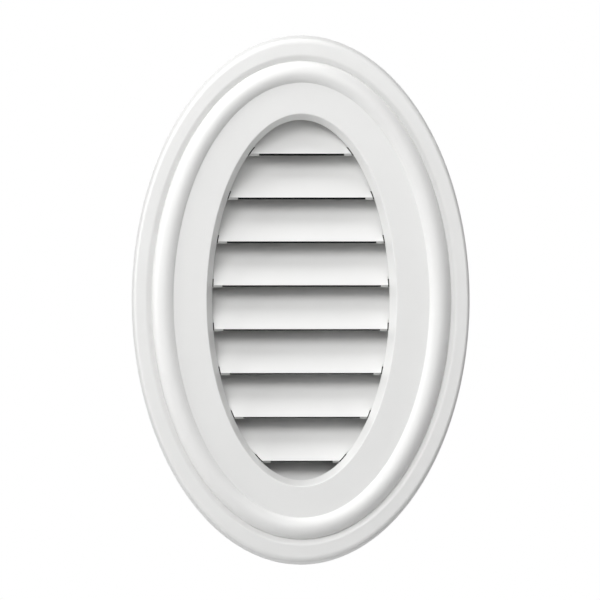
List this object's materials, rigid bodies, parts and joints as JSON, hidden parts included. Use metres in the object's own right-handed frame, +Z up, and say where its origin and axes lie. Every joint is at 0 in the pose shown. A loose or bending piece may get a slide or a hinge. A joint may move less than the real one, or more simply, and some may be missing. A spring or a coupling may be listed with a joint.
{
  "type": "oval louvred gable vent",
  "caption": "Tall oval gable vent in white moulded plastic: a beaded face ring snapped over a base with sloped louvre blades and an insect screen behind them.",
  "frame": {"origin": "centre of the oval on the back face of the nailing flange, where it lies on the wall", "axes": "+Z up, -Y out of the wall towards the viewer, +X to the viewer's right"},
  "size_m": [0.5359, 0.0797, 0.8379],
  "materials": {
    "ring_white": "satin moulded",
    "louvre_white": "satin moulded",
    "screen_mesh": "vinyl-coated woven strands"
  },
  "bodies": {
    "root": {"surround_ring": "ring_white", "louvre_base": "louvre_white", "insect_screen": "screen_mesh"}
  },
  "joints": []
}
